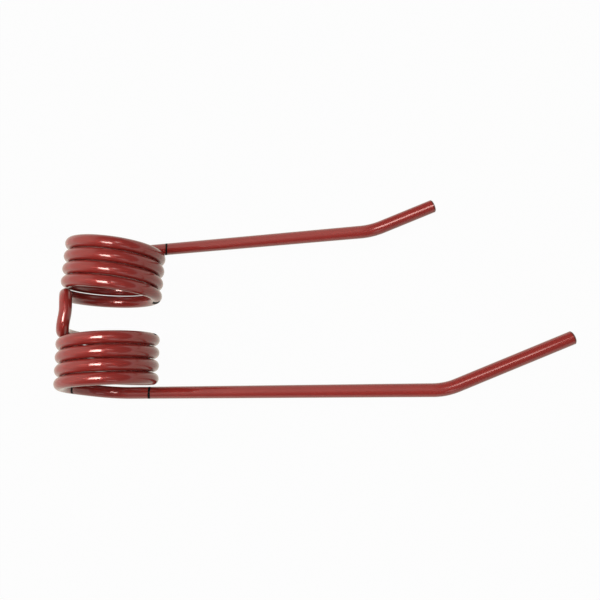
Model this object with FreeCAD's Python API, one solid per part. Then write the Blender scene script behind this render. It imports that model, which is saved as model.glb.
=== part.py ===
import FreeCAD, Part
import math
import os

# Tedder tine: a double torsion spring bent from one length of round wire.
# Two close coils of opposite hand stand in line and are joined by a short bridge. From each coil
# an arm runs off at a tangent and ends in a hook. Millimetres and degrees.
# The wire is worked out with the coils' axis along Z, the arms along +X on the +Y side of the
# coils, and the short arm at +Z. It is then laid down as it comes to rest, on both coils and the
# tip of the long hook.

# Wire
wire_diameter = 9.5
tip_chamfer = 0.7

# Coils. The helix starts at an angle round the coil's axis, after the arm has bent into it.
coil_mean_radius = 34.0
turn_gap = 0.5
coil_turns = 4.0
helix_start = 180.0

# Arms, each measured from the coils' axis to the corner of its hook's bend
short_arm_length = 198.5
long_arm_length = 251.0

# Hooks: the angle of the bend, and its way, turned from +Y towards +Z
hook_bend_angle = 28.7
hook_bend_way = 55.0
hook_bend_radius = 33.0
short_hook_length = 49.5
long_hook_length = 94.5

# Set of each coil. Its axis leans towards the arms and tips across them, its first turn rises to
# meet the arm, and its last turn winds on past full turns before it bends into the bridge.
short_coil_lean = 3.0
short_coil_tip = 1.1
short_coil_rise = 2.5
short_coil_wind = 38.0
long_coil_lean = 1.0
long_coil_tip = -1.5
long_coil_rise = 0.9
long_coil_wind = 32.0

# Bridge: what it spans between the centres of the two inner turns, the tangent length of its two
# corners, and the bow of its middle
bridge_span = 26.65
bridge_corner_reach = 9.0
bridge_bow_out = 1.8
bridge_bow_along = 0.3
bridge_bow_reach = 4.0

# Resting attitude: rounds of settling, and the angle between the places looked at on a coil
settling_rounds = 6
look_every = 2.0

# Worked out from those, or fixed. The arms lie at 90 degrees round the coils' axis.
wire_radius = wire_diameter / 2
coil_pitch = wire_diameter + turn_gap
arm_angle = 90.0
full_turn = 360.0
shortest_line = 0.001
same_place = 0.01
vector = FreeCAD.Vector
arms_way = vector(1, 0, 0)
towards_arms_plane = vector(0, 1, 0)


def unit(direction):
    """A copy of a direction, with length one."""
    return vector(direction).normalize()


def turned(axis, angle):
    """Rotation about an axis."""
    return FreeCAD.Rotation(axis, angle)


def advance(angle):
    """How far a coil runs along its axis while it turns by an angle."""
    return coil_pitch * angle / full_turn


class Route:
    """Centreline of the wire, drawn edge by edge, with each corner rounded by a tangent arc."""

    def __init__(self, start):
        self.here = start
        self.edges = []

    def straight(self, end):
        """Straight run to a point, left out where the wire is already there."""
        if self.here.distanceToPoint(end) > shortest_line:
            self.edges.append(Part.LineSegment(self.here, end).toShape())
        self.here = end

    def corner(self, point, beyond, reach):
        """Straight run to a corner and an arc round it, with tangents as long as reach."""
        inward = unit(point - self.here)
        outward = unit(beyond - point)
        half_turn = inward.getAngle(outward) / 2
        radius = reach / math.tan(half_turn)
        to_centre = unit(outward - inward)
        middle = point + to_centre * (radius / math.cos(half_turn) - radius)
        end = point + outward * reach
        self.straight(point - inward * reach)
        self.edges.append(Part.Arc(self.here, middle, end).toShape())
        self.here = end


class Side:
    """One half of the spring: hook, arm and coil. Its hand is 1 at +Z and -1 at -Z."""

    def __init__(self, hand, arm_length, hook_length, lean, tip, rise, wind):
        self.hand = hand
        self.arm_length = arm_length
        self.hook_length = hook_length
        self.setting = turned(vector(1, 0, 0), hand * tip) * turned(vector(0, 1, 0), hand * lean)
        self.helix_end = helix_start + full_turn * coil_turns + wind
        coil_start_level = bridge_span / 2 + advance(self.helix_end - arm_angle)
        self.root = vector(0, coil_mean_radius, hand * coil_start_level)
        self.arm_level = hand * (coil_start_level + rise)

    def coil_point(self, angle):
        """Point of the coil's centreline."""
        turn = math.radians(angle)
        out = coil_mean_radius * math.cos(turn)
        across = coil_mean_radius * (math.sin(turn) - 1)
        along = -self.hand * advance(angle - arm_angle)
        return self.root + self.setting.multVec(vector(out, across, along))

    def coil_heading(self, angle):
        """Direction of the wire there, on its way to the bridge."""
        turn = math.radians(angle)
        out = -coil_mean_radius * math.sin(turn)
        across = coil_mean_radius * math.cos(turn)
        along = -self.hand * advance(math.degrees(1))
        return unit(self.setting.multVec(vector(out, across, along)))

    def coil_points(self):
        """Places along the whole coil, for finding what it rests on."""
        steps = int((self.helix_end - helix_start) / look_every)
        return [self.coil_point(helix_start + look_every * step) for step in range(steps)]

    def coil_edge(self):
        """The coil's helix. The two coils are wound to opposite hands."""
        left_handed = self.hand > 0
        height = advance(self.helix_end - helix_start)
        edge = Part.makeHelix(coil_pitch, height, coil_mean_radius, 0, left_handed).Edges[0]
        inwards = turned(vector(1, 0, 0), 180 if left_handed else 0)
        along = -self.hand * advance(helix_start - arm_angle)
        start = vector(0, -coil_mean_radius, along)
        on_axis = FreeCAD.Placement(start, turned(vector(0, 0, 1), helix_start) * inwards)
        edge.Placement = FreeCAD.Placement(self.root, self.setting) * on_axis
        return edge

    def hook_heading(self):
        """Direction of the hook. Both hooks point the same way."""
        bend = math.radians(hook_bend_angle)
        way = math.radians(hook_bend_way)
        across = math.sin(bend) * math.cos(way)
        along = math.sin(bend) * math.sin(way)
        return vector(math.cos(bend), across, along)

    def hook_corner(self):
        """Corner of the bend between arm and hook."""
        return vector(self.arm_length, coil_mean_radius, self.arm_level)

    def hook_tip(self):
        """Centre of the hook's end face."""
        return self.hook_corner() + self.hook_heading() * self.hook_length

    def arm_edges(self):
        """Hook, arm, and the quarter turn that eases the arm into the coil."""
        bend_reach = hook_bend_radius * math.tan(math.radians(hook_bend_angle / 2))
        coil_start = self.coil_point(helix_start)
        coil_way = self.coil_heading(helix_start)
        half_a_corner = math.radians(helix_start - arm_angle) / 4
        corner_distance = coil_mean_radius * math.tan(half_a_corner)
        coil_corner = coil_start - coil_way * corner_distance
        arm_corner = vector(-corner_distance, coil_mean_radius, self.arm_level)
        shared_reach = coil_corner.distanceToPoint(arm_corner) / 2
        route = Route(self.hook_tip())
        route.corner(self.hook_corner(), arm_corner, bend_reach)
        route.corner(arm_corner, coil_corner, shared_reach)
        route.corner(coil_corner, coil_start, min(shared_reach, corner_distance))
        route.straight(coil_start)
        return route.edges


def bridge_edges(first, second):
    """Bridge between the inner ends of the two coils, with a slight bow at its middle."""
    start = first.coil_point(first.helix_end)
    end = second.coil_point(second.helix_end)
    first_corner = start + first.coil_heading(first.helix_end) * bridge_corner_reach
    second_corner = end + second.coil_heading(second.helix_end) * bridge_corner_reach
    bow = vector(bridge_bow_out, 0, bridge_bow_along)
    middle = (first_corner + second_corner) * 0.5 + bow
    bow_room = first_corner.distanceToPoint(middle) - bridge_corner_reach
    route = Route(start)
    route.corner(first_corner, middle, bridge_corner_reach)
    route.corner(middle, second_corner, min(bridge_bow_reach, bow_room))
    route.corner(second_corner, end, bridge_corner_reach)
    return route.edges


def is_rim(edge, tips):
    """Whether an edge is the round rim of one of the wire's two ends."""
    curve = edge.Curve
    if not isinstance(curve, Part.Circle):
        return False
    return min(curve.Center.distanceToPoint(tip) for tip in tips) < same_place


def bent_wire(short_side, long_side):
    """The wire: a round section swept along the whole centreline, with its two ends chamfered."""
    edges = short_side.arm_edges() + [short_side.coil_edge()]
    edges += bridge_edges(short_side, long_side)
    edges += [long_side.coil_edge()] + long_side.arm_edges()[::-1]
    path = Part.Wire(Part.__sortEdges__(edges))
    tips = [short_side.hook_tip(), long_side.hook_tip()]
    section = Part.Wire(Part.makeCircle(wire_radius, tips[0], short_side.hook_heading()))
    wire = path.makePipeShell([section], True, False)
    rims = [edge for edge in wire.Edges if is_rim(edge, tips)]
    return wire.makeChamfer(tip_chamfer, rims)


def lying_down(short_side, long_side):
    """Rotation that lays the wire on a floor, level on both coils and the long hook's tip."""
    heading = long_side.hook_heading()
    down = towards_arms_plane
    for _ in range(settling_rounds):
        feet = []
        for side in (short_side, long_side):
            lowest = max(side.coil_points(), key=lambda point: point.dot(down))
            feet.append(lowest + down * wire_radius)
        rim_way = unit(down - heading * down.dot(heading))
        feet.append(long_side.hook_tip() + rim_way * wire_radius)
        normal = (feet[1] - feet[0]).cross(feet[2] - feet[0])
        down = unit(normal if normal.dot(down) > 0 else normal * -1)
    up = down * -1
    sideways = unit(up.cross(arms_way))
    forward = sideways.cross(up)
    return FreeCAD.Rotation(forward, sideways, up, "ZXY").inverted()


def build():
    """The tine, lying on the floor with the middle of its outline over the origin."""
    short_side = Side(
        1, short_arm_length, short_hook_length,
        short_coil_lean, short_coil_tip, short_coil_rise, short_coil_wind,
    )
    long_side = Side(
        -1, long_arm_length, long_hook_length,
        long_coil_lean, long_coil_tip, long_coil_rise, long_coil_wind,
    )
    wire = bent_wire(short_side, long_side)
    wire.Placement = FreeCAD.Placement(vector(0, 0, 0), lying_down(short_side, long_side))
    box = wire.optimalBoundingBox(False, False)
    wire.translate(vector(-box.Center.x, -box.Center.y, -box.ZMin))
    return wire


os.makedirs("parts", exist_ok=True)
build().exportStep("parts/tine_wire.step")
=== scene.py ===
"""Tedder tine in red gloss paint, lying on a pale studio floor.

The wire is bent ring by ring, as a coiling machine bends it, and takes the place of the packed
wire. Lengths are metres and angles are degrees, unless a name says otherwise.
"""
import logging
import math
from dataclasses import dataclass
from enum import Enum

import bmesh
import bpy
from mathutils import Matrix, Vector

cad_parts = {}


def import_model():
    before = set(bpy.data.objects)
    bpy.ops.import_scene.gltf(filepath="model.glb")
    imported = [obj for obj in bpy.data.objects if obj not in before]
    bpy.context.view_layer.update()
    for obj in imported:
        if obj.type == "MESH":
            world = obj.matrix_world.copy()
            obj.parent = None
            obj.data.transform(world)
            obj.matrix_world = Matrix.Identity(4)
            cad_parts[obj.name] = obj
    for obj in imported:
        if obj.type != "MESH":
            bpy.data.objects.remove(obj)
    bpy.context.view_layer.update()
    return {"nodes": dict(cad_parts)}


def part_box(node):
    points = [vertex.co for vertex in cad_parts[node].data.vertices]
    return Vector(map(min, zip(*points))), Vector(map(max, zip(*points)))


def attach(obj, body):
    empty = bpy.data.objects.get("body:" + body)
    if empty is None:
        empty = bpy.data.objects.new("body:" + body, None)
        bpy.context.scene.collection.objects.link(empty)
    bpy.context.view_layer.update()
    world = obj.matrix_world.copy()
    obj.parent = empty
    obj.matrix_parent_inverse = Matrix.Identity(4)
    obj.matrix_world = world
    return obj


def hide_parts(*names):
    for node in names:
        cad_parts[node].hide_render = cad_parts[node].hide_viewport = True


LOG = logging.getLogger("tedder_tine")
X_AXIS = Vector((1, 0, 0))
Y_AXIS = Vector((0, 1, 0))
Z_AXIS = Vector((0, 0, 1))
WIRE_NODE = "tine_wire"
UV_MAP = "along_wire"
ARM_ANGLE = 90.0
FULL_TURN = 360.0
SAME_PLACE = 1e-6
ON_END_FACE = -1.0
THREE_BY_THREE = 3
MILLIMETRES = 1000


class Hand(Enum):
    """Which half of the spring, by the side of the middle it stands on."""

    SHORT_ARM = 1
    LONG_ARM = -1


@dataclass(frozen=True)
class WireSizes:
    """Sizes that both halves of the spring share."""

    diameter: float = 0.0095
    chamfer: float = 0.0007
    coil_radius: float = 0.034
    turn_gap: float = 0.0005
    turns: float = 4.0
    helix_start: float = 180.0
    hook_bend: float = 28.7
    hook_way: float = 55.0
    hook_radius: float = 0.033
    bridge_span: float = 0.02665
    bridge_reach: float = 0.009
    bow_out: float = 0.0018
    bow_along: float = 0.0003
    bow_reach: float = 0.004

    @property
    def radius(self) -> float:
        """Radius of the wire."""
        return self.diameter / 2

    @property
    def pitch(self) -> float:
        """Distance from one turn to the next."""
        return self.diameter + self.turn_gap

    def advance(self, angle: float) -> float:
        """How far a coil runs along its axis while it turns.

        Args:
            angle: the turn, in degrees.

        Returns:
            The distance along the axis.
        """
        return self.pitch * angle / FULL_TURN


@dataclass(frozen=True)
class SideSizes:
    """Sizes of one half: its arm and hook, and how its coil is set."""

    hand: Hand
    arm: float
    hook: float
    lean: float
    tip: float
    rise: float
    wind: float


@dataclass(frozen=True)
class MeshSteps:
    """How finely the wire is made: edges round it, and the angle of each step of a bend."""

    around: int = 48
    coil_step: float = 4.0
    bend_step: float = 3.0
    straight_step: float = 0.02
    settling_rounds: int = 6
    look_every: float = 2.0


@dataclass(frozen=True)
class Corner:
    """A rounded corner of the wire's centreline."""

    centre: Vector
    axis: Vector
    angle: float
    start: Vector


def rounded_corner(before: Vector, point: Vector, beyond: Vector, reach: float) -> Corner:
    """The tangent arc that rounds a corner.

    Args:
        before: a point that the wire comes from.
        point: the sharp corner.
        beyond: a point that the wire goes on to.
        reach: distance from the corner to either end of the arc.

    Returns:
        The arc, with its angle in degrees.
    """
    inward = (point - before).normalized()
    outward = (beyond - point).normalized()
    half_turn = inward.angle(outward) / 2
    radius = reach / math.tan(half_turn)
    to_centre = (outward - inward).normalized()
    centre = point + to_centre * (radius / math.cos(half_turn))
    axis = inward.cross(outward).normalized()
    return Corner(centre, axis, math.degrees(2 * half_turn), point - inward * reach)


class SpringSide:
    """One half of the spring: where its hook, arm and coil run, with the coils' axis along Z."""

    def __init__(self, wire: WireSizes, side: SideSizes) -> None:
        """Works out the half's levels.

        Args:
            wire: sizes that both halves share.
            side: this half's own sizes.
        """
        self.wire = wire
        self.side = side
        self.sign = side.hand.value
        tip = Matrix.Rotation(math.radians(self.sign * side.tip), THREE_BY_THREE, "X")
        lean = Matrix.Rotation(math.radians(self.sign * side.lean), THREE_BY_THREE, "Y")
        self.setting = tip @ lean
        self.helix_end = wire.helix_start + FULL_TURN * wire.turns + side.wind
        coil_level = wire.bridge_span / 2 + wire.advance(self.helix_end - ARM_ANGLE)
        self.root = Vector((0, wire.coil_radius, self.sign * coil_level))
        self.arm_level = self.sign * (coil_level + side.rise)

    def coil_axis(self) -> Vector:
        """Direction of the coil's axis."""
        return self.setting @ Z_AXIS

    def coil_centre(self) -> Vector:
        """A point on the coil's axis."""
        return self.root - self.setting @ (Y_AXIS * self.wire.coil_radius)

    def coil_point(self, angle: float) -> Vector:
        """Point of the coil's centreline.

        Args:
            angle: angle round the coil's axis, in degrees.

        Returns:
            The point.
        """
        turn = math.radians(angle)
        out = self.wire.coil_radius * math.cos(turn)
        across = self.wire.coil_radius * (math.sin(turn) - 1)
        along = -self.sign * self.wire.advance(angle - ARM_ANGLE)
        return self.root + self.setting @ Vector((out, across, along))

    def coil_heading(self, angle: float) -> Vector:
        """Direction of the wire in the coil, on its way to the bridge.

        Args:
            angle: angle round the coil's axis, in degrees.

        Returns:
            The direction, of length one.
        """
        turn = math.radians(angle)
        out = -self.wire.coil_radius * math.sin(turn)
        across = self.wire.coil_radius * math.cos(turn)
        along = -self.sign * self.wire.advance(math.degrees(1))
        return (self.setting @ Vector((out, across, along))).normalized()

    def hook_heading(self) -> Vector:
        """Direction of the hook.

        Returns:
            The direction, of length one.
        """
        bend = math.radians(self.wire.hook_bend)
        way = math.radians(self.wire.hook_way)
        across = math.sin(bend) * math.cos(way)
        along = math.sin(bend) * math.sin(way)
        return Vector((math.cos(bend), across, along))

    def hook_corner(self) -> Vector:
        """Corner of the bend between arm and hook."""
        return Vector((self.side.arm, self.wire.coil_radius, self.arm_level))

    def hook_tip(self) -> Vector:
        """Centre of the hook's end."""
        return self.hook_corner() + self.hook_heading() * self.side.hook

    def hook_reach(self) -> float:
        """Tangent length of the hook's bend."""
        return self.wire.hook_radius * math.tan(math.radians(self.wire.hook_bend / 2))

    def entry_corners(self) -> tuple[Vector, Vector, Vector]:
        """The two corners that ease the arm into the coil.

        They share the turn between the arm and the coil's start evenly.

        Returns:
            The corner by the arm, the corner by the coil, and where the coil starts.
        """
        start = self.coil_point(self.wire.helix_start)
        half_a_corner = math.radians(self.wire.helix_start - ARM_ANGLE) / 4
        distance = self.wire.coil_radius * math.tan(half_a_corner)
        at_coil = start - self.coil_heading(self.wire.helix_start) * distance
        at_arm = Vector((-distance, self.wire.coil_radius, self.arm_level))
        return at_arm, at_coil, start


class WireBender:
    """Bends a tube from one ring of edges: each move carries the open end onwards."""

    def __init__(self, wire: WireSizes, steps: MeshSteps, start: Vector, heading: Vector) -> None:
        """Starts the wire with its end face and the chamfer round it.

        Args:
            wire: sizes of the wire.
            steps: how finely it is made.
            start: centre of the end face.
            heading: direction that the wire sets off in.
        """
        self.steps = steps
        self.wire = wire
        self.mesh = bmesh.new()
        self.here = start.copy()
        self.heading = heading.normalized()
        turn = self.heading.to_track_quat("Z", "Y").to_matrix().to_4x4()
        face_radius = wire.radius - wire.chamfer
        bmesh.ops.create_circle(
            self.mesh, cap_ends=False, segments=steps.around, radius=face_radius,
            matrix=Matrix.Translation(start) @ turn,
        )
        self.open_end = self.mesh.edges[:]
        self.travelled = [0.0]
        self.flare(wire.chamfer, wire.radius / face_radius)

    def take_over(self, made: list, lengths: list[float]) -> None:
        """Makes the newest ring the open end.

        Args:
            made: what the last operator made, the newest ring among it.
            lengths: how much wire each new ring added.
        """
        fresh = self.newest_ring()
        self.open_end = [edge for edge in made if isinstance(edge, bmesh.types.BMEdge)
                         and all(vert in fresh for vert in edge.verts)]
        for length in lengths:
            self.travelled.append(self.travelled[-1] + length)

    def newest_ring(self) -> set:
        """The last vertices made, one ring of them."""
        self.mesh.verts.ensure_lookup_table()
        return set(self.mesh.verts[-self.steps.around:])

    def feed(self, length: float) -> None:
        """Pushes the wire straight on.

        Args:
            length: how far.
        """
        count = max(1, round(length / self.steps.straight_step))
        for _ in range(count):
            made = bmesh.ops.extrude_edge_only(self.mesh, edges=self.open_end)["geom"]
            ring = list(self.newest_ring())
            bmesh.ops.translate(self.mesh, vec=self.heading * (length / count), verts=ring)
            self.take_over(made, [length / count])
        self.here += self.heading * length

    def flare(self, length: float, scale: float) -> None:
        """Pushes the wire on while its ring grows or shrinks.

        Args:
            length: how far.
            scale: the new ring's size, as a share of the old one's.
        """
        made = bmesh.ops.extrude_edge_only(self.mesh, edges=self.open_end)["geom"]
        ring = list(self.newest_ring())
        to_middle = Matrix.Translation(-self.here)
        bmesh.ops.scale(self.mesh, vec=(scale, scale, scale), space=to_middle, verts=ring)
        bmesh.ops.translate(self.mesh, vec=self.heading * length, verts=ring)
        self.take_over(made, [length])
        self.here += self.heading * length

    def turn(self, centre: Vector, axis: Vector, angle: float, climb: float, step: float) -> None:
        """Bends the wire round an axis, and along it where it climbs.

        Args:
            centre: a point on the axis.
            axis: direction of the axis.
            angle: how far round, in degrees, by the right-hand rule.
            climb: how far along the axis in all.
            step: largest angle of one step.
        """
        count = max(1, math.ceil(abs(angle) / step))
        made = bmesh.ops.spin(
            self.mesh, geom=self.open_end, cent=centre, axis=axis,
            dvec=axis * (climb / count), angle=math.radians(angle), steps=count,
        )["geom_last"]
        turn = Matrix.Rotation(math.radians(angle), THREE_BY_THREE, axis)
        arm = self.here - centre
        round_axis = (arm - axis * arm.dot(axis)).length * math.radians(abs(angle))
        self.take_over(made, [math.hypot(round_axis, climb) / count] * count)
        self.here = centre + turn @ arm + axis * climb
        self.heading = (turn @ self.heading).normalized()

    def corner(self, point: Vector, beyond: Vector, reach: float) -> None:
        """Runs straight to a corner and round it.

        Args:
            point: the sharp corner.
            beyond: a point that the wire goes on to.
            reach: distance from the corner to either end of its arc.
        """
        arc = rounded_corner(self.here, point, beyond, reach)
        gap = (arc.start - self.here).length
        if gap > SAME_PLACE:
            self.feed(gap)
        self.turn(arc.centre, arc.axis, arc.angle, 0.0, self.steps.bend_step)

    def cut(self) -> None:
        """Ends the wire with the chamfer that its start has, and closes both faces."""
        face_radius = self.wire.radius - self.wire.chamfer
        self.flare(self.wire.chamfer, face_radius / self.wire.radius)
        layer = self.map_length()
        self.mesh.verts.ensure_lookup_table()
        around = self.steps.around
        rings = (self.mesh.verts[:around], self.mesh.verts[-around:])
        for ring in rings:
            face = bmesh.ops.contextual_create(self.mesh, geom=ring)["faces"][0]
            face.smooth = False
            for loop in face.loops:
                loop[layer].uv = (ON_END_FACE, 0.0)
        self.sharpen(around)
        bmesh.ops.recalc_face_normals(self.mesh, faces=self.mesh.faces)

    def sharpen(self, around: int) -> None:
        """Keeps the edges of both chamfers crisp.

        Args:
            around: how many vertices a ring has.
        """
        self.mesh.verts.index_update()
        last = len(self.mesh.verts) // around - 1
        for edge in self.mesh.edges:
            rings = {vert.index // around for vert in edge.verts}
            if len(rings) == 1 and rings <= {0, 1, last - 1, last}:
                edge.smooth = False

    def map_length(self) -> bmesh.types.BMLayerItem:
        """Lays a UV map along the wire: U is the length in metres, and V goes once round.

        Returns:
            The map's layer.
        """
        around = self.steps.around
        layer = self.mesh.loops.layers.uv.new(UV_MAP)
        self.mesh.verts.index_update()
        for face in self.mesh.faces:
            face.smooth = True
            places = [vert.index % around for vert in face.verts]
            wraps = max(places) - min(places) > 1
            for loop in face.loops:
                ring, place = divmod(loop.vert.index, around)
                lap = 1.0 if wraps and place == 0 else 0.0
                loop[layer].uv = (self.travelled[ring], place / around + lap)
        return layer


class TineWire:
    """The whole tine: two hooked arms, two coils and the bridge, bent from one wire."""

    name = "bent_wire"

    def __init__(self, wire: WireSizes, short: SideSizes, long: SideSizes) -> None:
        """Sets the two halves out.

        Args:
            wire: sizes that both halves share.
            short: the half with the short arm.
            long: the half with the long arm.
        """
        self.wire = wire
        self.short = SpringSide(wire, short)
        self.long = SpringSide(wire, long)
        self.steps = MeshSteps()
        self.length = 0.0

    def arm_in(self, bender: WireBender, side: SpringSide) -> None:
        """Bends the first hook and runs its arm into its coil.

        Args:
            bender: what bends the wire.
            side: the half that the arm belongs to.
        """
        at_arm, at_coil, start = side.entry_corners()
        shared = (at_coil - at_arm).length / 2
        bender.corner(side.hook_corner(), at_arm, side.hook_reach())
        bender.corner(at_arm, at_coil, shared)
        bender.corner(at_coil, start, shared)

    def arm_out(self, bender: WireBender, side: SpringSide) -> None:
        """Runs the last coil out into its arm and bends the hook.

        Args:
            bender: what bends the wire.
            side: the half that the arm belongs to.
        """
        at_arm, at_coil, start = side.entry_corners()
        shared = (at_coil - at_arm).length / 2
        bender.corner(at_coil, at_arm, shared)
        bender.corner(at_arm, side.hook_corner(), shared)
        bender.corner(side.hook_corner(), side.hook_tip(), side.hook_reach())
        bender.feed((side.hook_tip() - bender.here).length - self.wire.chamfer)

    def coil(self, bender: WireBender, side: SpringSide, inwards: bool) -> None:
        """Winds a coil.

        Args:
            bender: what bends the wire.
            side: the half that the coil belongs to.
            inwards: whether it winds from its arm towards the bridge.
        """
        turn = side.helix_end - self.wire.helix_start
        if not inwards:
            turn = -turn
        climb = -side.sign * self.wire.advance(turn)
        bender.turn(side.coil_centre(), side.coil_axis(), turn, climb, self.steps.coil_step)

    def bridge(self, bender: WireBender) -> None:
        """Bends the bridge from the short arm's coil over to the other.

        Args:
            bender: what bends the wire.
        """
        reach = self.wire.bridge_reach
        end = self.long.coil_point(self.long.helix_end)
        first = bender.here + self.short.coil_heading(self.short.helix_end) * reach
        last = end + self.long.coil_heading(self.long.helix_end) * reach
        middle = (first + last) / 2 + Vector((self.wire.bow_out, 0, self.wire.bow_along))
        bender.corner(first, middle, reach)
        bender.corner(middle, last, self.wire.bow_reach)
        bender.corner(last, end, reach)

    def bend(self) -> WireBender:
        """Bends the wire from the short arm's tip to the long arm's.

        Returns:
            The bender, holding the finished mesh.
        """
        heading = -self.short.hook_heading()
        bender = WireBender(self.wire, self.steps, self.short.hook_tip(), heading)
        self.arm_in(bender, self.short)
        self.coil(bender, self.short, inwards=True)
        self.bridge(bender)
        self.coil(bender, self.long, inwards=False)
        self.arm_out(bender, self.long)
        bender.cut()
        self.length = bender.travelled[-1]
        return bender

    def lying_down(self) -> Matrix:
        """Rotation that lays the wire level on both coils and the long hook's tip.

        Returns:
            The rotation.
        """
        step = self.steps.look_every
        down = Y_AXIS
        for _ in range(self.steps.settling_rounds):
            feet = []
            for side in (self.short, self.long):
                looks = int((side.helix_end - self.wire.helix_start) / step)
                angles = [self.wire.helix_start + step * look for look in range(looks)]
                lowest = max(map(side.coil_point, angles), key=lambda point: point.dot(down))
                feet.append(lowest + down * self.wire.radius)
            heading = self.long.hook_heading()
            rim_way = (down - heading * down.dot(heading)).normalized()
            feet.append(self.long.hook_tip() + rim_way * self.wire.radius)
            normal = (feet[1] - feet[0]).cross(feet[2] - feet[0]).normalized()
            down = normal if normal.dot(down) > 0 else -normal
        up = -down
        sideways = up.cross(X_AXIS).normalized()
        return Matrix((sideways.cross(up), sideways, up))

    def build(self, box: tuple[Vector, Vector]) -> bpy.types.Object:
        """Bends the wire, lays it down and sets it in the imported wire's place.

        Args:
            box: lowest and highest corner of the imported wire.

        Returns:
            The wire's object.
        """
        mesh = self.bend().mesh
        verts = mesh.verts[:]
        bmesh.ops.rotate(mesh, cent=Vector(), matrix=self.lying_down(), verts=verts)
        low = Vector([min(vert.co[axis] for vert in verts) for axis in range(3)])
        high = Vector([max(vert.co[axis] for vert in verts) for axis in range(3)])
        to_place = (box[0] + box[1] - low - high) / 2
        to_place.z = box[0].z - low.z
        bmesh.ops.translate(mesh, vec=to_place, verts=verts)
        data = bpy.data.meshes.new(self.name)
        mesh.to_mesh(data)
        mesh.free()
        piece = bpy.data.objects.new(self.name, data)
        bpy.context.collection.objects.link(piece)
        return piece


class NodeBoard:
    """A material's or a world's nodes, cleared for a finish to fill."""

    def __init__(self, owner: bpy.types.ID) -> None:
        """Empties the owner's node tree.

        Args:
            owner: the material or world.
        """
        owner.use_nodes = True
        self.tree = owner.node_tree
        self.tree.nodes.clear()

    def add(self, kind: str, **values: object) -> bpy.types.Node:
        """Adds a node.

        Args:
            kind: the node's type.
            values: settings of the node, or constants for its inputs by name, with _ for spaces.

        Returns:
            The node.
        """
        node = self.tree.nodes.new(kind)
        for key, value in values.items():
            if hasattr(node, key):
                setattr(node, key, value)
            else:
                node.inputs[key.replace("_", " ")].default_value = value
        return node

    def link(self, source: bpy.types.NodeSocket, target: bpy.types.NodeSocket) -> None:
        """Joins two sockets."""
        self.tree.links.new(source, target)

    def work_out(
        self, operation: str, first: bpy.types.NodeSocket, second: object,
    ) -> bpy.types.NodeSocket:
        """Adds a Math node on a socket and a socket or number.

        Args:
            operation: the Math node's operation.
            first: its first input.
            second: its second input.

        Returns:
            The result's socket.
        """
        node = self.add("ShaderNodeMath", operation=operation)
        self.link(first, node.inputs[0])
        if isinstance(second, bpy.types.NodeSocket):
            self.link(second, node.inputs[1])
        else:
            node.inputs[1].default_value = second
        return node.outputs[0]

    def near(
        self, value: bpy.types.NodeSocket, middle: float, reach: float,
    ) -> bpy.types.NodeSocket:
        """Tells where a value lies close to a number.

        Args:
            value: the value's socket.
            middle: the number.
            reach: how far from it still counts.

        Returns:
            A socket that is 1 there and 0 elsewhere.
        """
        node = self.add("ShaderNodeMath", operation="COMPARE")
        self.link(value, node.inputs[0])
        node.inputs[1].default_value = middle
        node.inputs[2].default_value = reach
        return node.outputs[0]

    def blend(self, share: bpy.types.NodeSocket, *sides: object) -> bpy.types.NodeSocket:
        """Mixes two colours.

        Args:
            share: how much of the second colour shows.
            sides: the two colours, each a socket or four numbers.

        Returns:
            The mixed colour's socket.
        """
        node = self.add("ShaderNodeMix", data_type="RGBA")
        self.link(share, node.inputs["Factor"])
        for name, side in zip("AB", sides):
            if isinstance(side, bpy.types.NodeSocket):
                self.link(side, node.inputs[name])
            else:
                node.inputs[name].default_value = side
        return node.outputs["Result"]


@dataclass(frozen=True)
class Band:
    """A black band painted on the wire.

    Its middle is a length of wire, counted from the short arm's tip. A slant tilts it, by that
    length either way. Round the wire it covers all, or only a part: the part's middle, and half
    its width, as shares of a turn.
    """

    middle: float
    width: float
    slant: float = 0.0
    part: tuple[float, float] | None = None


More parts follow.
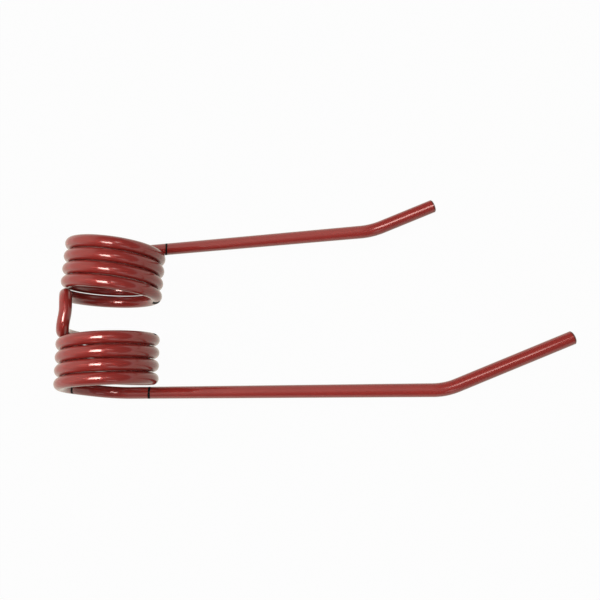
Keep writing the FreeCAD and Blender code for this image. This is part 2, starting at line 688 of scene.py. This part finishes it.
@dataclass(frozen=True)
class GlossPaint:
    """Red gloss paint on the wire, with its black bands and dark rims."""

    colour: tuple[float, float, float, float] = (0.310, 0.0255, 0.0195, 1)
    deep_colour: tuple[float, float, float, float] = (0.285, 0.0230, 0.0175, 1)
    band_colour: tuple[float, float, float, float] = (0.004, 0.003, 0.003, 1)
    rim_colour: tuple[float, float, float, float] = (0.110, 0.014, 0.011, 1)
    refraction: float = 1.5
    rim_width: float = 0.0013
    mottle_size: float = 0.012
    mottle_detail: float = 3.0
    mottle_contrast: float = 0.55
    peel_size: float = 0.0016
    peel_detail: float = 2.0
    peel_contrast: float = 0.5
    peel_depth: float = 0.00000015
    smoothest: float = 0.26
    roughest: float = 0.36
    band_roughness: float = 0.9
    band_edge: float = 0.5
    body_gloss: float = 0.35
    coat_roughness: float = 0.05
    bands: tuple[Band, ...] = (
        Band(middle=0.2234, width=0.0018, slant=0.0030),
        Band(middle=2.1634, width=0.0021, slant=-0.0022),
        Band(middle=2.0985, width=0.0030, slant=0.0099, part=(0.85, 0.11)),
        Band(middle=1.0720, width=0.0092, part=(0.452, 0.097)),
        Band(middle=1.3362, width=0.0064, part=(0.390, 0.045)),
    )

    def band_mask(
        self, board: NodeBoard, along: bpy.types.NodeSocket, round_wire: bpy.types.NodeSocket,
    ) -> bpy.types.NodeSocket:
        """Mask of the black bands.

        Args:
            board: the material's nodes.
            along: length along the wire.
            round_wire: place round the wire, from 0 to 1.

        Returns:
            The mask's socket.
        """
        wave = board.work_out("SINE", board.work_out("MULTIPLY", round_wire, 2 * math.pi), 0.0)
        mask = None
        for band in self.bands:
            tilt = board.work_out("MULTIPLY", wave, band.slant)
            upright = board.work_out("SUBTRACT", along, tilt)
            here = board.near(upright, band.middle, band.width / 2)
            if band.part:
                here = board.work_out("MULTIPLY", here, board.near(round_wire, *band.part))
            mask = board.work_out("MAXIMUM", mask, here) if mask else here
        return mask

    def rim_mask(
        self, board: NodeBoard, along: bpy.types.NodeSocket, total: float,
    ) -> bpy.types.NodeSocket:
        """Mask of the dark rims at the wire's two ends, with the end faces left out.

        Args:
            board: the material's nodes.
            along: length along the wire.
            total: length of the whole wire.

        Returns:
            The mask's socket.
        """
        near = board.work_out("LESS_THAN", along, self.rim_width)
        on_side = board.work_out("GREATER_THAN", along, -self.rim_width)
        far = board.work_out("GREATER_THAN", along, total - self.rim_width)
        return board.work_out("MAXIMUM", board.work_out("MULTIPLY", near, on_side), far)

    def material(self, total: float) -> bpy.types.Material:
        """Mixes the paint.

        Args:
            total: length of the wire.

        Returns:
            The material.
        """
        made = bpy.data.materials.new("red_gloss_paint")
        board = NodeBoard(made)
        wire_map = board.add("ShaderNodeUVMap", uv_map=UV_MAP)
        split = board.add("ShaderNodeSeparateXYZ")
        board.link(wire_map.outputs["UV"], split.inputs[0])
        banded = self.band_mask(board, split.outputs["X"], split.outputs["Y"])
        rimmed = self.rim_mask(board, split.outputs["X"], total)
        place = board.add("ShaderNodeTexCoord").outputs["Object"]
        mottle = board.add(
            "ShaderNodeTexNoise", Scale=1 / self.mottle_size,
            Detail=self.mottle_detail, Roughness=self.mottle_contrast,
        )
        peel = board.add(
            "ShaderNodeTexNoise", Scale=1 / self.peel_size,
            Detail=self.peel_detail, Roughness=self.peel_contrast,
        )
        for noise in (mottle, peel):
            board.link(place, noise.inputs["Vector"])
        # Red in two close shades, darker on the rims, black on the bands
        paint = board.blend(mottle.outputs["Fac"], self.deep_colour, self.colour)
        paint = board.blend(rimmed, paint, self.rim_colour)
        paint = board.blend(banded, paint, self.band_colour)
        # Glossy paint, with matt bands that have no clear coat
        gloss = board.add("ShaderNodeMapRange", To_Min=self.smoothest, To_Max=self.roughest)
        board.link(mottle.outputs["Fac"], gloss.inputs["Value"])
        on_bands = board.work_out("MULTIPLY", banded, self.band_roughness)
        roughness = board.work_out("MAXIMUM", gloss.outputs["Result"], on_bands)
        coat = board.work_out("LESS_THAN", banded, self.band_edge)
        bump = board.add("ShaderNodeBump", Strength=1.0, Distance=self.peel_depth)
        board.link(peel.outputs["Fac"], bump.inputs["Height"])
        shader = board.add("ShaderNodeBsdfPrincipled")
        shader.inputs["IOR"].default_value = self.refraction
        shader.inputs["Specular IOR Level"].default_value = self.body_gloss
        shader.inputs["Coat Roughness"].default_value = self.coat_roughness
        board.link(paint, shader.inputs["Base Color"])
        board.link(roughness, shader.inputs["Roughness"])
        board.link(coat, shader.inputs["Coat Weight"])
        board.link(bump.outputs["Normal"], shader.inputs["Normal"])
        output = board.add("ShaderNodeOutputMaterial")
        board.link(shader.outputs["BSDF"], output.inputs["Surface"])
        return made


class Reach(Enum):
    """What a lamp lights: the body of a surface, or its gloss."""

    BODY = "body"
    GLOSS = "gloss"


@dataclass(frozen=True)
class SoftBox:
    """A softbox with a honeycomb, which faces a point.

    Its width runs along X, as near as it can.
    """

    name: str
    place: tuple[float, float, float]
    aim: tuple[float, float, float]
    width: float
    height: float
    brightness: float
    reach: Reach
    tint: tuple[float, float, float] = (1.0, 1.0, 1.0)
    honeycomb: float = 180.0

    def hang(self) -> bpy.types.Object:
        """Hangs the lamp.

        Returns:
            The lamp's object.
        """
        lamp = bpy.data.lights.new(self.name, "AREA")
        lamp.shape = "RECTANGLE"
        lamp.size, lamp.size_y = self.width, self.height
        lamp.energy = math.pi * self.width * self.height * self.brightness
        lamp.color = self.tint
        lamp.spread = math.radians(self.honeycomb)
        holder = bpy.data.objects.new(self.name, lamp)
        backwards = (Vector(self.place) - Vector(self.aim)).normalized()
        sideways = Y_AXIS.cross(backwards).normalized()
        columns = Matrix((sideways, backwards.cross(sideways), backwards)).transposed()
        holder.matrix_world = Matrix.Translation(self.place) @ columns.to_4x4()
        holder.visible_camera = False
        holder.visible_diffuse = self.reach is Reach.BODY
        holder.visible_glossy = self.reach is Reach.GLOSS
        bpy.context.collection.objects.link(holder)
        return holder


@dataclass(frozen=True)
class StudioFloor:
    """A pale floor that keeps the tine's shadow, with painted shade in an oval patch under each
    coil.
    """

    size: float = 6.0
    colour: tuple[float, float, float, float] = (0.35, 0.35, 0.35, 1)
    white: tuple[float, float, float, float] = (1, 1, 1, 1)
    reflected: tuple[float, float, float, float] = (0.82, 0.75, 0.66, 1)
    whitening: float = 0.97
    # Painted shade: fixed oval patches under the coils, where the floor is not whitened when it
    # is seen straight
    painted_shade_centres: tuple[tuple[float, float, float], ...] = ((-0.165, -0.040, 0.0), (-0.165, 0.040, 0.0))
    painted_shade_reach: tuple[float, float, float] = (0.032, 0.020, 1.0)
    painted_shade_core: float = 0.82

    def lay(self) -> bpy.types.Object:
        """Lays the floor.

        Returns:
            The floor's object.
        """
        mesh = bmesh.new()
        bmesh.ops.create_grid(mesh, x_segments=1, y_segments=1, size=self.size)
        data = bpy.data.meshes.new("studio_floor")
        mesh.to_mesh(data)
        mesh.free()
        data.materials.append(self.material())
        floor = bpy.data.objects.new("studio_floor", data)
        bpy.context.collection.objects.link(floor)
        return floor

    def clear_of_painted_shade(self, board: NodeBoard) -> bpy.types.NodeSocket:
        """Mask of the floor outside the two oval patches of painted shade.

        Args:
            board: the material's nodes.

        Returns:
            A socket that is 1 in the clear and 0 in the shade.
        """
        place = board.add("ShaderNodeTexCoord").outputs["Object"]
        clear = None
        for shade in self.painted_shade_centres:
            offset = board.add("ShaderNodeVectorMath", operation="SUBTRACT")
            board.link(place, offset.inputs[0])
            offset.inputs[1].default_value = shade
            shares = board.add("ShaderNodeVectorMath", operation="DIVIDE")
            board.link(offset.outputs["Vector"], shares.inputs[0])
            shares.inputs[1].default_value = self.painted_shade_reach
            apart = board.add("ShaderNodeVectorMath", operation="LENGTH")
            board.link(shares.outputs["Vector"], apart.inputs[0])
            edge = board.add(
                "ShaderNodeMapRange", interpolation_type="SMOOTHSTEP", From_Min=self.painted_shade_core,
            )
            board.link(apart.outputs["Value"], edge.inputs["Value"])
            here = edge.outputs["Result"]
            clear = board.work_out("MULTIPLY", clear, here) if clear else here
        return clear

    def material(self) -> bpy.types.Material:
        """Pale paper, lifted towards white where it is seen straight or in a reflection, except
        where it is seen straight in the painted shade patches.

        Returns:
            The material.
        """
        made = bpy.data.materials.new("pale_paper")
        board = NodeBoard(made)
        paper = board.add("ShaderNodeBsdfDiffuse", Color=self.colour)
        path = board.add("ShaderNodeLightPath")
        white = board.add("ShaderNodeEmission", Strength=1.0)
        shown = board.blend(path.outputs["Is Glossy Ray"], self.white, self.reflected)
        board.link(shown, white.inputs["Color"])
        clear = self.clear_of_painted_shade(board)
        # Painted shade: inside the patches, straight sight gets no whitening, so the darker paper
        # shows there
        direct = board.work_out("MULTIPLY", path.outputs["Is Camera Ray"], clear)
        seen = board.work_out("MAXIMUM", direct, path.outputs["Is Glossy Ray"])
        seen = board.work_out("MAXIMUM", seen, path.outputs["Is Transmission Ray"])
        share = board.work_out("MULTIPLY", seen, self.whitening)
        blend = board.add("ShaderNodeMixShader")
        board.link(share, blend.inputs[0])
        board.link(paper.outputs[0], blend.inputs[1])
        board.link(white.outputs[0], blend.inputs[2])
        output = board.add("ShaderNodeOutputMaterial")
        board.link(blend.outputs[0], output.inputs["Surface"])
        return made


@dataclass(frozen=True)
class StudioWalls:
    """The world: a bright wall on one side, which ends at a corner, and dim walls elsewhere.

    It is white along the horizon and where it is seen straight, and a little whiter in the gloss.
    """

    bright_side: tuple[float, float, float] = (-0.87, 0.5, 0.0)
    bright: float = 0.68
    dim: float = 0.04
    bright_from: float = 0.48
    dim_from: float = -0.05
    tint: tuple[float, float, float] = (1.0, 0.94, 0.84)
    white: tuple[float, float, float, float] = (1, 1, 1, 1)
    white_in_gloss: float = 0.12
    horizon_top: float = 0.06
    wall_from: float = 0.12
    corner_from: float = -0.33
    corner_to: float = -0.12

    def ramp(
        self, board: NodeBoard, value: bpy.types.NodeSocket, *limits: float,
    ) -> bpy.types.NodeSocket:
        """A smooth change between two levels.

        Args:
            board: the world's nodes.
            value: what the change follows.
            limits: where it starts and ends, and its levels there.

        Returns:
            The level's socket.
        """
        node = board.add("ShaderNodeMapRange", interpolation_type="SMOOTHSTEP")
        board.link(value, node.inputs["Value"])
        for name, limit in zip(("From Min", "From Max", "To Min", "To Max"), limits):
            node.inputs[name].default_value = limit
        return node.outputs["Result"]

    def paint(self) -> None:
        """Sets the world's brightness by direction."""
        world = bpy.data.worlds.new("studio_walls")
        bpy.context.scene.world = world
        board = NodeBoard(world)
        way = board.add("ShaderNodeTexCoord").outputs["Generated"]
        side = board.add("ShaderNodeVectorMath", operation="DOT_PRODUCT")
        board.link(way, side.inputs[0])
        side.inputs[1].default_value = self.bright_side
        split = board.add("ShaderNodeSeparateXYZ")
        board.link(way, split.inputs[0])
        levels = (self.dim_from, self.bright_from, self.dim, self.bright)
        wall = self.ramp(board, side.outputs["Value"], *levels)
        corner = self.ramp(board, split.outputs["X"], self.corner_from, self.corner_to, 1.0, 0.0)
        wall = board.work_out("MAXIMUM", board.work_out("MULTIPLY", wall, corner), self.dim)
        horizon = self.ramp(board, split.outputs["Z"], self.horizon_top, self.wall_from, 1.0, 0.0)
        warm = board.add("ShaderNodeVectorMath", operation="SCALE")
        warm.inputs[0].default_value = self.tint
        board.link(wall, warm.inputs["Scale"])
        path = board.add("ShaderNodeLightPath")
        share = board.work_out("MULTIPLY", path.outputs["Is Glossy Ray"], self.white_in_gloss)
        for full in (path.outputs["Is Camera Ray"], path.outputs["Is Transmission Ray"], horizon):
            share = board.work_out("MAXIMUM", share, full)
        sky = board.add("ShaderNodeBackground")
        board.link(board.blend(share, warm.outputs[0], self.white), sky.inputs["Color"])
        output = board.add("ShaderNodeOutputWorld")
        board.link(sky.outputs[0], output.inputs["Surface"])


@dataclass(frozen=True)
class StudioCamera:
    """The camera, looking steeply down on the tine."""

    place: tuple[float, float, float] = (0.1590, -0.1194, 0.5421)
    aim: tuple[float, float, float] = (0.0, -0.0027, 0.0300)
    roll: float = -1.6
    lens: float = 45.0
    nearest: float = 0.01
    farthest: float = 50.0

    def set_up(self) -> bpy.types.Object:
        """Places the camera.

        Returns:
            The camera's object.
        """
        data = bpy.data.cameras.new("camera")
        data.lens = self.lens
        data.clip_start, data.clip_end = self.nearest, self.farthest
        camera = bpy.data.objects.new("camera", data)
        forward = (Vector(self.aim) - Vector(self.place)).normalized()
        right = forward.cross(Y_AXIS).normalized()
        right.rotate(Matrix.Rotation(math.radians(self.roll), THREE_BY_THREE, forward))
        columns = Matrix((right, right.cross(forward), -forward)).transposed()
        camera.matrix_world = Matrix.Translation(self.place) @ columns.to_4x4()
        bpy.context.collection.objects.link(camera)
        bpy.context.scene.camera = camera
        return camera


class Studio:
    """Floor, walls, softboxes and camera."""

    glint_tint = (1.0, 0.84, 0.77)
    streak_tint = (1.0, 0.74, 0.68)
    softboxes = (
        SoftBox(
            "overhead_softbox", place=(0.2, -0.10, 1.5), aim=(0, 0, 0),
            width=1.2, height=1.2, brightness=3.9, reach=Reach.BODY,
        ),
        SoftBox(
            "left_softbox", place=(-1.2, -0.15, 0.95), aim=(0, 0, 0),
            width=1.2, height=1.2, brightness=1.5, reach=Reach.BODY,
        ),
        SoftBox(
            "coil_softbox", place=(-0.127, -0.053, 0.215), aim=(-0.177, -0.013, 0.015),
            width=0.070, height=0.085, brightness=4.5, reach=Reach.GLOSS,
            tint=glint_tint, honeycomb=76.0,
        ),
        SoftBox(
            "hook_softbox", place=(0.25, 0.050, 0.465), aim=(0.10, 0.08, 0.02),
            width=0.30, height=0.18, brightness=0.70, reach=Reach.GLOSS,
            tint=streak_tint, honeycomb=50.0,
        ),
        SoftBox(
            "low_softbox", place=(0.62, -1.17, 0.68), aim=(-0.12, 0, 0.07),
            width=0.5, height=0.5, brightness=1.2, reach=Reach.GLOSS,
        ),
    )

    def build(self) -> bpy.types.Object:
        """Builds the studio.

        Returns:
            The floor's object.
        """
        bpy.context.scene.view_settings.view_transform = "Standard"
        for softbox in self.softboxes:
            softbox.hang()
        StudioWalls().paint()
        StudioCamera().set_up()
        return StudioFloor().lay()


def main() -> None:
    """Loads the frame, bends and paints the wire, and sets the studio round it."""
    logging.basicConfig(level=logging.INFO, format="%(name)s: %(message)s")
    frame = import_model()
    LOG.info("frame with %d node(s)", len(frame["nodes"]))
    short = SideSizes(
        Hand.SHORT_ARM, arm=0.1985, hook=0.0495, lean=3.0, tip=1.1, rise=0.0025, wind=38.0,
    )
    long = SideSizes(
        Hand.LONG_ARM, arm=0.2510, hook=0.0945, lean=1.0, tip=-1.5, rise=0.0009, wind=32.0,
    )
    tine = TineWire(WireSizes(), short, long)
    wire = tine.build(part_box(WIRE_NODE))
    wire.data.materials.append(GlossPaint().material(tine.length))
    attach(wire, "root")
    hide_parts(WIRE_NODE)
    millimetres = tine.length * MILLIMETRES
    LOG.info("%s: %.1f mm of wire, %d faces", wire.name, millimetres, len(wire.data.polygons))
    Studio().build()


if __name__ == "__main__":
    main()
